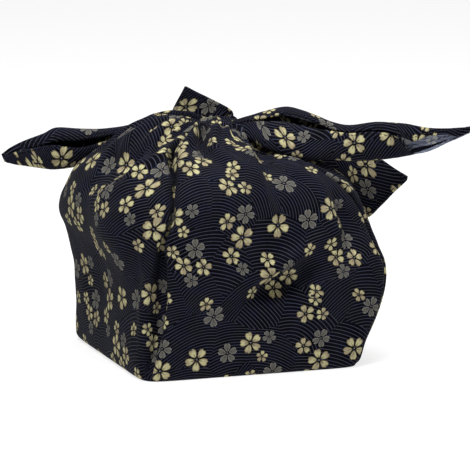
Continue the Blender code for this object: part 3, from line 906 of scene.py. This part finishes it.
class Shader:
    """A material's nodes, with short ways to add them."""

    # A mix node's own places for its two colours and for its result.
    FIRST_COLOUR = 6
    SECOND_COLOUR = 7
    MIXED_COLOUR = 2

    def __init__(self, name):
        self.material = bpy.data.materials.new(name)
        self.material.use_nodes = True
        self.tree = self.material.node_tree

    def join(self, inputs, values):
        """Feed a node's inputs, by name or number, from sockets or with constants."""
        for name, value in values.items():
            if isinstance(value, bpy.types.NodeSocket):
                self.tree.links.new(value, inputs[name])
            else:
                inputs[name].default_value = value

    def finish(self, values):
        """Give the surface its values, and hand over the material."""
        self.join(self.tree.nodes["Principled BSDF"].inputs, values)
        return self.material

    def node(self, kind, values, **settings):
        """The outputs of a new node with these inputs and settings."""
        item = self.tree.nodes.new(kind)
        for name, value in settings.items():
            setattr(item, name, value)
        self.join(item.inputs, values)
        return item.outputs

    def math(self, operation, *values):
        """A sum, product or other function of numbers."""
        return self.node("ShaderNodeMath", dict(enumerate(values)), operation=operation)[0]

    def vector(self, operation, *values):
        """A sum, product or other function of vectors."""
        outputs = self.node("ShaderNodeVectorMath", dict(enumerate(values)), operation=operation)
        return outputs["Value" if operation in ("LENGTH", "DOT_PRODUCT") else "Vector"]

    def scaled(self, value, factor):
        """A vector times a number."""
        values = {0: value, "Scale": factor}
        return self.node("ShaderNodeVectorMath", values, operation="SCALE")["Vector"]

    def axes(self, value):
        """A vector's parts, by the names of its axes."""
        return self.node("ShaderNodeSeparateXYZ", {0: value})

    def smooth(self, value, low, high):
        """0 below low, 1 above high and a soft step between."""
        values = {"Value": value, "From Min": low, "From Max": high}
        return self.node("ShaderNodeMapRange", values, interpolation_type="SMOOTHSTEP")["Result"]

    def inside(self, value, low, high):
        """1 below low, 0 above high and a soft step between."""
        return self.math("SUBTRACT", 1.0, self.smooth(value, low, high))

    def off_middle(self, value):
        """How far a number is from the middle between two whole ones."""
        phase = self.math("FRACT", value)
        return self.math("ABSOLUTE", self.math("SUBTRACT", phase, 0.5))

    def mix(self, factor, first, second):
        """The first colour, going over into the second with the factor."""
        values = {"Factor": factor, self.FIRST_COLOUR: first, self.SECOND_COLOUR: second}
        return self.node("ShaderNodeMix", values, data_type="RGBA")[self.MIXED_COLOUR]

    def noise(self, place, scale, detail, output="Fac"):
        """Soft random values, or with the output Color random vectors."""
        values = {"Vector": place, "Scale": scale, "Detail": detail}
        return self.node("ShaderNodeTexNoise", values, noise_dimensions="2D")[output]

    def attribute(self, name):
        """A number that the mesh holds."""
        return self.node("ShaderNodeAttribute", {}, attribute_name=name)["Fac"]

    def flat(self, name):
        """Flat coordinates that the mesh holds."""
        return self.node("ShaderNodeUVMap", {}, uv_map=name)["UV"]


# The waves, in millimetres: the pitch of their lines and how widely it varies from one
# group of nested arcs to the next, the size of a group, where the middle of its arcs lies
# from it and how widely that varies, and how the lines sway. Their edge is in pitches.
WAVE_PITCH = 2.3
WAVE_PITCH_SPREAD = 0.9
WAVE_GROUP = 34.0
WAVE_BELOW = (0.0, -46.0, 0.0)
WAVE_SPREAD = (84.0, 44.0, 0.0)
WAVE_SWAY = 6.0
WAVE_SWAY_SCALE = 0.02
WAVE_LINE_EDGE = (0.03, 0.13)


def wave_lines(shader, place):
    """Groups of nested arcs that meet at angles: 1 on a line, 0 between."""
    sway = shader.noise(place, WAVE_SWAY_SCALE, 0.0, "Color")
    swayed = shader.vector("ADD", place, shader.scaled(sway, WAVE_SWAY))
    values = {"Vector": swayed, "Scale": 1.0 / WAVE_GROUP}
    groups = shader.node("ShaderNodeTexVoronoi", values, voronoi_dimensions="2D")
    drawn = shader.vector("SUBTRACT", groups["Color"], (0.5, 0.5, 0.5))
    shift = shader.vector("MULTIPLY_ADD", drawn, WAVE_SPREAD, WAVE_BELOW)
    middle = shader.vector("ADD", groups["Position"], shift)
    gap = shader.vector("SUBTRACT", swayed, middle)
    far = shader.vector("LENGTH", shader.vector("MULTIPLY", gap, (1.0, 1.0, 0.0)))
    pitch = shader.math("MULTIPLY_ADD", shader.axes(drawn)["Z"], WAVE_PITCH_SPREAD, WAVE_PITCH)
    off = shader.off_middle(shader.math("DIVIDE", far, pitch))
    return shader.inside(off, *WAVE_LINE_EDGE)


# A blossom, in shares of its radius. Each petal is an egg round its middle, whose half
# width grows outwards, with a notch in its tip. The soft edges of the petal and its rim
# are in shares of the egg, those of the notch and the vein lie sideways, and those of the
# vein's end and the blossom's heart outwards.
PETALS = 5
PETAL_TURN = math.tau / PETALS
PETAL_MIDDLE = 0.59
PETAL_HALF_LENGTH = 0.41
PETAL_WIDTH = (0.31, 0.115)
PETAL_NOTCH = (0.7, -0.59)
PETAL_EDGE = (0.86, 1.04)
NOTCH_EDGE = (-0.01, 0.02)
RIM_EDGE = (0.50, 0.86)
VEIN_EDGE = (0.012, 0.035)
VEIN_END = (0.42, 0.62)
HEART_EDGE = (0.03, 0.075)


def petals(shader):
    """Masks of a five-petalled blossom: its petals, their rims and veins, and its heart."""
    local = shader.flat("blossom")
    axes = shader.axes(local)
    far = shader.vector("LENGTH", local)
    turn = shader.math("DIVIDE", shader.math("ARCTAN2", axes["Y"], axes["X"]), PETAL_TURN)
    off = shader.off_middle(shader.math("ADD", turn, PETALS + 0.5))
    angle = shader.math("MULTIPLY", off, PETAL_TURN)
    out = shader.math("MULTIPLY", far, shader.math("COSINE", angle))
    side = shader.math("MULTIPLY", far, shader.math("SINE", angle))
    length = shader.math("DIVIDE", shader.math("SUBTRACT", out, PETAL_MIDDLE), PETAL_HALF_LENGTH)
    width = shader.math("DIVIDE", side, shader.math("MULTIPLY_ADD", out, *PETAL_WIDTH))
    long_square = shader.math("MULTIPLY", length, length)
    egg = shader.math("MULTIPLY_ADD", width, width, long_square)
    notch = shader.math("SUBTRACT", shader.math("MULTIPLY_ADD", out, *PETAL_NOTCH), side)
    petal = shader.math("MULTIPLY", shader.inside(egg, *PETAL_EDGE), shader.inside(notch, *NOTCH_EDGE))
    rim = shader.smooth(egg, *RIM_EDGE)
    vein = shader.math("MULTIPLY", shader.inside(side, *VEIN_EDGE), shader.inside(out, *VEIN_END))
    return petal, rim, vein, shader.inside(far, *HEART_EDGE)


# The colours of the dyed ground, the printed lines and the blossoms, and of the reverse.
NAVY = (0.0018, 0.0017, 0.0034, 1.0)
NAVY_WORN = (0.0036, 0.0035, 0.0068, 1.0)
WAVE_BLUE = (0.068, 0.076, 0.136, 1.0)
WAVE_GREY = (0.082, 0.083, 0.110, 1.0)
GOLD = (0.490, 0.465, 0.260, 1.0)
GOLD_TAN = (0.310, 0.265, 0.170, 1.0)
GOLD_RIM = (0.210, 0.170, 0.085, 1.0)
GREY = (0.105, 0.100, 0.088, 1.0)
GREY_RIM = (0.220, 0.215, 0.185, 1.0)
VEIN = (0.020, 0.012, 0.010, 1.0)
REVERSE = (0.360, 0.390, 0.480, 1.0)
REVERSE_DARK = (0.130, 0.145, 0.215, 1.0)
REVERSE_BLOSSOM = (0.490, 0.495, 0.470, 1.0)

# The cloth's fine relief, in millimetres: the pitch of its threads, the noise's scale and
# detail for its slubs and creases, the length of a stitch, how far the stitched line lies
# from the hem's inner edge, its soft edge and that of each dash, and how high each stands.
THREAD_PITCH = 0.55
SLUBS = (0.55, 3.0)
CREASES = (0.045, 4.0)
STITCH_LENGTH = 2.6
STITCH_INSET = 0.7
STITCH_EDGE = (0.2, 0.7)
STITCH_DASH = (-0.6, -0.1)
THREAD_RELIEF = 0.05
SLUB_RELIEF = 0.10
CREASE_RELIEF = 1.2
STITCH_RELIEF = -0.25
RELIEF_STRENGTH = 0.8


def weave(shader, place):
    """Height of a plain weave: crossing threads that go over and under."""
    turns = shader.axes(shader.scaled(place, math.tau / THREAD_PITCH))
    return shader.math("MULTIPLY", *[shader.math("SINE", turns[axis]) for axis in "XY"])


def hem_stitches(shader, place):
    """The dashed line that is sewn along the hem: 1 on a stitch, 0 elsewhere."""
    off = shader.math("SUBTRACT", shader.attribute("hem"), HEM_WIDTH - STITCH_INSET)
    line = shader.inside(shader.math("ABSOLUTE", off), *STITCH_EDGE)
    turn = math.tau / STITCH_LENGTH
    along = shader.vector("DOT_PRODUCT", place, (turn, turn, 0.0))
    dash = shader.smooth(shader.math("SINE", along), *STITCH_DASH)
    return shader.math("MULTIPLY", line, dash)


def cloth_relief(shader, place, stitches):
    """The surface's direction with threads, slubs, creases and the hem's stitches."""
    parts = (
        (shader.noise(place, *SLUBS), SLUB_RELIEF),
        (weave(shader, place), THREAD_RELIEF),
        (shader.noise(place, *CREASES), CREASE_RELIEF),
        (stitches, STITCH_RELIEF),
    )
    height = 0.0
    for part, relief in parts:
        height = shader.math("MULTIPLY_ADD", part, relief, height)
    values = {"Strength": RELIEF_STRENGTH, "Distance": MM, "Height": height}
    return shader.node("ShaderNodeBump", values)["Normal"]


# Uneven dye, ink and gold: the noise's scale and detail, and between which of its values
# one tone goes over into the other.
WORN_PATCHES = (0.06, 4.0, 0.30, 0.70)
INK_PATCHES = (0.09, 3.0, 0.35, 0.65)
TAN_PATCHES = (0.16, 6.0, 0.40, 0.62)

# The grain of the printed lines and the shade of the reverse: the noise's scale and
# detail, how much it counts, and the least value.
INK_GRAIN = (0.5, 2.0, 0.5, 0.45)
REVERSE_SHADE = (0.08, 3.0, 0.5, 0.6)

# How strongly the stitches show on each side, and the print on the reverse.
PRINT_STITCHES = 0.8
REVERSE_STITCHES = 0.7
REVERSE_PRINT = 0.7

# How each side of the cloth takes the light.
FINISH_SOCKETS = ("Roughness", "Sheen Weight", "Sheen Roughness", "Specular IOR Level")
PRINT_FINISH = (0.78, 0.012, 0.45, 0.03)
REVERSE_FINISH = (0.82, 0.02, 0.5, 0.05)


def patches(shader, place, scale, detail, low, high):
    """A soft mask of uneven patches."""
    return shader.smooth(shader.noise(place, scale, detail), low, high)


def grain(shader, place, scale, detail, share, least):
    """Soft random values above a least one."""
    return shader.math("MULTIPLY_ADD", shader.noise(place, scale, detail), share, least)


def finished(shader, place, colour, seam, finish):
    """The material with its colour, its stitches, its relief and its finish."""
    stitches = hem_stitches(shader, place)
    colour = shader.mix(shader.math("MULTIPLY", stitches, seam), colour, NAVY)
    values = dict(zip(FINISH_SOCKETS, finish))
    values["Base Color"] = colour
    values["Normal"] = cloth_relief(shader, place, stitches)
    return shader.finish(values)


def blossom_colour(shader, place, rim, vein):
    """Gold or grey petals with their rims and veins."""
    gold = shader.mix(patches(shader, place, *TAN_PATCHES), GOLD, GOLD_TAN)
    gold = shader.mix(rim, gold, GOLD_RIM)
    grey = shader.mix(rim, GREY, GREY_RIM)
    return shader.mix(vein, shader.mix(shader.attribute("blossom_tone"), gold, grey), VEIN)


def print_material():
    """Navy cotton printed with pale waves and gold and grey blossoms."""
    shader = Shader("printed_navy_cotton")
    place = shader.scaled(shader.flat("cloth"), 1.0 / MM)
    ground = shader.mix(patches(shader, place, *WORN_PATCHES), NAVY, NAVY_WORN)
    line = shader.mix(patches(shader, place, *INK_PATCHES), WAVE_BLUE, WAVE_GREY)
    printed = shader.math("MULTIPLY", wave_lines(shader, place), grain(shader, place, *INK_GRAIN))
    colour = shader.mix(printed, ground, line)
    petal, rim, vein, heart = petals(shader)
    colour = shader.mix(petal, colour, blossom_colour(shader, place, rim, vein))
    colour = shader.mix(heart, colour, GREY_RIM)
    return finished(shader, place, colour, PRINT_STITCHES, PRINT_FINISH)


def reverse_material():
    """The unprinted side: the print shows through on a paler grey blue."""
    shader = Shader("cotton_reverse")
    place = shader.scaled(shader.flat("cloth"), 1.0 / MM)
    uneven = grain(shader, place, *REVERSE_SHADE)
    shade = shader.math("SUBTRACT", uneven, wave_lines(shader, place))
    colour = shader.mix(shade, REVERSE, REVERSE_DARK)
    petal = petals(shader)[0]
    colour = shader.mix(shader.math("MULTIPLY", petal, REVERSE_PRINT), colour, REVERSE_BLOSSOM)
    return finished(shader, place, colour, REVERSE_STITCHES, REVERSE_FINISH)


# Soft studio lamps in the view frame: place, size in metres, power in watts, and the
# point at which they are aimed.
LAMP_COLUMNS = ("name", "x", "y", "z", "size", "power")
LAMPS = (
    ("key", -300, -1000, 1700, 0.6, 26),
    ("fill", 1300, -900, 900, 1.4, 2),
    ("top", 100, 100, 1700, 0.9, 26),
)
LAMP_AIM = (0.0, 0.0, 90.0)
WHITE = (1.0, 1.0, 1.0, 1.0)
WORLD_LIGHT = 0.10

# The floor, whose side is given in metres: it glows almost white and throws little light
# back at the cloth.
FLOOR_SIZE = 12.0
FLOOR_FINISH = {
    "Base Color": (0.30, 0.30, 0.30, 1.0),
    "Roughness": 0.9,
    "Emission Color": WHITE,
    "Emission Strength": 0.78,
}


def placed(name, data, place, aim):
    """An object that looks from its place in the view frame at its aim."""
    item = linked(name, data)
    place, aim = map(Vector, world_places((place, aim)))
    item.location = place
    item.rotation_euler = (aim - place).to_track_quat("-Z", "Y").to_euler()
    return item


def add_camera():
    """The camera of the photographed view."""
    data = bpy.data.cameras.new("camera")
    data.sensor_width = SENSOR
    data.lens = SENSOR * VIEW_DISTANCE / VIEW_WIDTH
    data.clip_end = CLIP_END
    tilt = math.radians(VIEW_TILT)
    aim = np.array(VIEW_AIM)
    back = np.array((0.0, -math.cos(tilt), math.sin(tilt))) * VIEW_DISTANCE
    bpy.context.scene.camera = placed("camera", data, aim + back, aim)


def add_lamps():
    """The studio's lamps and its faint light from all round."""
    for lamp in rows_of(LAMP_COLUMNS, LAMPS):
        data = bpy.data.lights.new(lamp["name"], "AREA")
        data.size = lamp["size"]
        data.energy = lamp["power"]
        placed(lamp["name"], data, (lamp["x"], lamp["y"], lamp["z"]), LAMP_AIM)
    world = bpy.data.worlds.new("studio")
    world.use_nodes = True
    background = world.node_tree.nodes["Background"]
    background.inputs["Color"].default_value = WHITE
    background.inputs["Strength"].default_value = WORLD_LIGHT
    bpy.context.scene.world = world
    bpy.context.scene.view_settings.view_transform = "Standard"


def add_floor():
    """A wide pale floor."""
    half = FLOOR_SIZE / 2.0
    corners = [(-half, -half, 0.0), (half, -half, 0.0), (half, half, 0.0), (-half, half, 0.0)]
    mesh = bpy.data.meshes.new("floor")
    mesh.from_pydata(corners, [], [(0, 1, 2, 3)])
    mesh.materials.append(Shader("pale_floor").finish(FLOOR_FINISH))
    floor = linked("floor", mesh)


add_camera()
add_lamps()
add_floor()
cloth = cloth_object()
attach(cloth, "root")
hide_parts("cloth")
